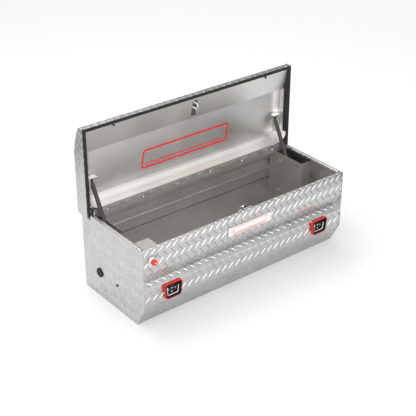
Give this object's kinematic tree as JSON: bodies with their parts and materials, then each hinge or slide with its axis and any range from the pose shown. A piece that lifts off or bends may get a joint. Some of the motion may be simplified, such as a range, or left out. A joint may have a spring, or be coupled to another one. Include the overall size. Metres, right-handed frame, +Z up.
{
  "type": "chest tool box",
  "caption": "Aluminium tread plate truck-bed chest with a hinged lid held open by gas struts, push-button lock, recessed bail handles",
  "frame": {"origin": "middle of the underside, on the face the chest stands on", "axes": "+X along the chest to the right seen from the front, +Y to the back, +Z up"},
  "size_m": [1.2156, 0.5123, 0.8269],
  "materials": {
    "aluminium": "rolled tread plate, mill finish",
    "smooth_aluminium": "smooth sheet, mill finish",
    "housing": "satin grey-brown",
    "steel": "bright plated",
    "black_paint": "satin black",
    "rubber": "matt black",
    "red_plastic": "red",
    "black_plastic": "black",
    "white_paint": "white"
  },
  "bodies": {
    "root": {"front_panel": "aluminium", "end_panel_left": "aluminium", "end_panel_right": "aluminium", "floor_panel": "smooth_aluminium", "rear_panel": "aluminium", "rear_rail": "smooth_aluminium", "hinge_body_leaf": "steel", "hinge_pin": "steel", "strut_housing_left": "housing", "strut_housing_right": "housing", "strut_stud_lower_left": "steel", "strut_stud_lower_right": "steel", "lock_shelf": "smooth_aluminium", "lock_escutcheon": "steel", "latch_guard": "smooth_aluminium", "latch_case": "steel", "nameplate": "white_paint", "handle_bezel_left": "red_plastic", "handle_bezel_right": "red_plastic", "handle_dish_left": "black_plastic", "handle_dish_right": "black_plastic", "end_grommet": "rubber", "end_plug": "rubber", "rod_guide": "black_plastic"},
    "lid": {"hinge_lid_leaf": "steel", "lid_skin": "aluminium", "lid_end_cap_left": "aluminium", "lid_end_cap_right": "aluminium", "lid_pan": "smooth_aluminium", "lid_front_channel": "smooth_aluminium", "lid_seal_front": "rubber", "lid_seal_left": "rubber", "lid_seal_right": "rubber", "striker_plate": "steel", "striker_loop": "steel", "lid_bumper_left": "rubber", "lid_bumper_right": "rubber", "strut_bracket_left": "smooth_aluminium", "strut_bracket_right": "smooth_aluminium", "strut_stud_upper_left": "steel", "strut_stud_upper_right": "steel"},
    "tube_left": {"strut_tube_left": "black_paint", "strut_socket_upper_left": "black_plastic"},
    "tube_right": {"strut_tube_right": "black_paint", "strut_socket_upper_right": "black_plastic"},
    "rod_left": {"strut_rod_left": "steel", "strut_socket_lower_left": "black_plastic"},
    "rod_right": {"strut_rod_right": "steel", "strut_socket_lower_right": "black_plastic"},
    "bail_left": {"handle_bail_left": "steel"},
    "bail_right": {"handle_bail_right": "steel"},
    "button": {"lock_button": "red_plastic"},
    "key": {"key_plug": "steel"},
    "crank": {"lock_crank": "steel"},
    "release": {"release_rod": "steel"},
    "pawl": {"latch_pawl": "steel"},
    "rotor": {"latch_rotor": "steel"}
  },
  "joints": [
    {"name": "lid_hinge", "type": "hinge", "parent": "root", "child": "lid", "pos_m": [0, 0.172, 0.41], "axis": [1, 0, 0], "range_deg": [0, 90]},
    {"name": "strut_turn_left", "type": "hinge", "parent": "lid", "child": "tube_left", "pos_m": [-0.549, 0.216, 0.549], "axis": [1, 0, 0], "range_deg": [-64.75, 0]},
    {"name": "strut_slide_left", "type": "slide", "parent": "tube_left", "child": "rod_left", "axis": [0, -0.4691, -0.8831], "range_m": [-0.14353, 0]},
    {"name": "strut_turn_right", "type": "hinge", "parent": "lid", "child": "tube_right", "pos_m": [0.549, 0.216, 0.549], "axis": [1, 0, 0], "range_deg": [-64.75, 0]},
    {"name": "strut_slide_right", "type": "slide", "parent": "tube_right", "child": "rod_right", "axis": [0, -0.4691, -0.8831], "range_m": [-0.14353, 0]},
    {"name": "bail_turn_left", "type": "hinge", "parent": "root", "child": "bail_left", "pos_m": [-0.444, -0.242, 0.17451], "axis": [-1, 0, 0], "range_deg": [0, 90]},
    {"name": "bail_turn_right", "type": "hinge", "parent": "root", "child": "bail_right", "pos_m": [0.444, -0.242, 0.17451], "axis": [-1, 0, 0], "range_deg": [0, 90]},
    {"name": "button_push", "type": "slide", "parent": "root", "child": "button", "axis": [0, 1, 0], "range_m": [0, 0.006], "stiffness_N_per_m": 300, "springref_m": -0.003},
    {"name": "key_turn", "type": "hinge", "parent": "button", "child": "key", "pos_m": [-0.546, -0.26, 0.342], "axis": [0, 1, 0], "range_deg": [0, 90]},
    {"name": "crank_turn", "type": "hinge", "parent": "root", "child": "crank", "pos_m": [-0.518, -0.221, 0.342], "axis": [0, 0, 1], "range_deg": [-13.18, 0]},
    {"name": "release_slide", "type": "slide", "parent": "root", "child": "release", "axis": [1, 0, 0], "range_m": [0, 0.00661]},
    {"name": "pawl_turn", "type": "hinge", "parent": "root", "child": "pawl", "pos_m": [-0.00549, -0.192, 0.36004], "axis": [0, 1, 0], "range_deg": [-34.51, 0]},
    {"name": "rotor_turn", "type": "hinge", "parent": "root", "child": "rotor", "pos_m": [0.007, -0.192, 0.388], "axis": [0, 1, 0], "range_deg": [0, 90], "stiffness_Nm_per_rad": 0.02, "springref_deg": -17.19}
  ],
  "couplings": [
    {"joint": "strut_turn_left", "follows": "lid_hinge", "ratio": -0.71934},
    {"joint": "strut_slide_left", "follows": "lid_hinge", "m_per_rad": -0.091365},
    {"joint": "strut_turn_right", "follows": "lid_hinge", "ratio": -0.71934},
    {"joint": "strut_slide_right", "follows": "lid_hinge", "m_per_rad": -0.091365},
    {"joint": "crank_turn", "follows": "button_push", "rad_per_m": -38.333},
    {"joint": "release_slide", "follows": "button_push", "ratio": 1.1},
    {"joint": "pawl_turn", "follows": "button_push", "rad_per_m": -100.36}
  ]
}
